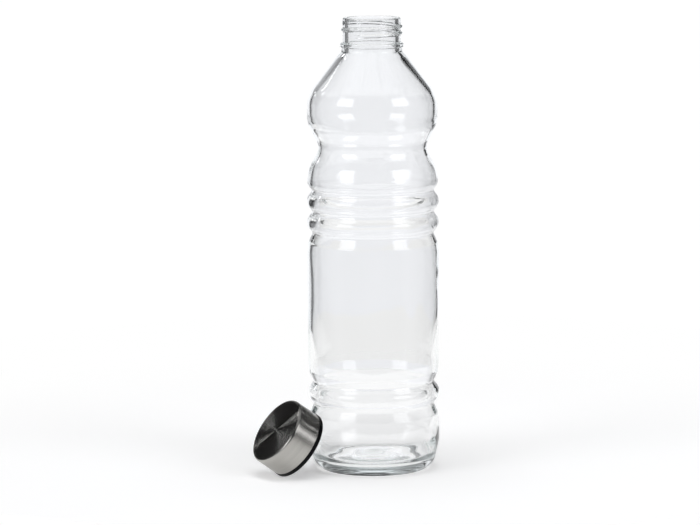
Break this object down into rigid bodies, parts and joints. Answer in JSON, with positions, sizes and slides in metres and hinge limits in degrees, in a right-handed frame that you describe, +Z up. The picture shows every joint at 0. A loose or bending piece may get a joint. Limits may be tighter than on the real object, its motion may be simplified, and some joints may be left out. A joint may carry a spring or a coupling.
{
  "type": "glass water bottle",
  "caption": "Ribbed glass water bottle with a waisted body and a threaded neck; its brushed steel screw cap is off and leans against the foot.",
  "frame": {"origin": "on the bottle's axis, in the plane that it stands on", "axes": "+Z up along the bottle's axis, out of the mouth; -Y is the front; the cap rests at the front left, towards -X and -Y"},
  "size_m": [0.1164, 0.092, 0.282],
  "materials": {
    "clear_glass": "fire-polished, clear, faint cool tint in the thick base",
    "brushed_steel": "spun on the top, brushed round the side",
    "black_pp": "moulded, satin",
    "silicone": "moulded, matt"
  },
  "bodies": {
    "bottle": {"glass_bottle": "clear_glass"},
    "seal": {"cap_seal": "silicone"},
    "cap": {"cap_shell": "brushed_steel", "cap_insert": "black_pp"}
  },
  "joints": [
    {"name": "cap_draw", "type": "slide", "parent": "bottle", "child": "seal", "axis": [-0.7254, -0.3696, 0.5807], "range_m": [0, 0.06]},
    {"name": "cap_turn", "type": "hinge", "parent": "seal", "child": "cap", "pos_m": [-0.04701, -0.02395, 0.01796], "axis": [-0.7254, -0.3696, 0.5807], "continuous": true}
  ]
}
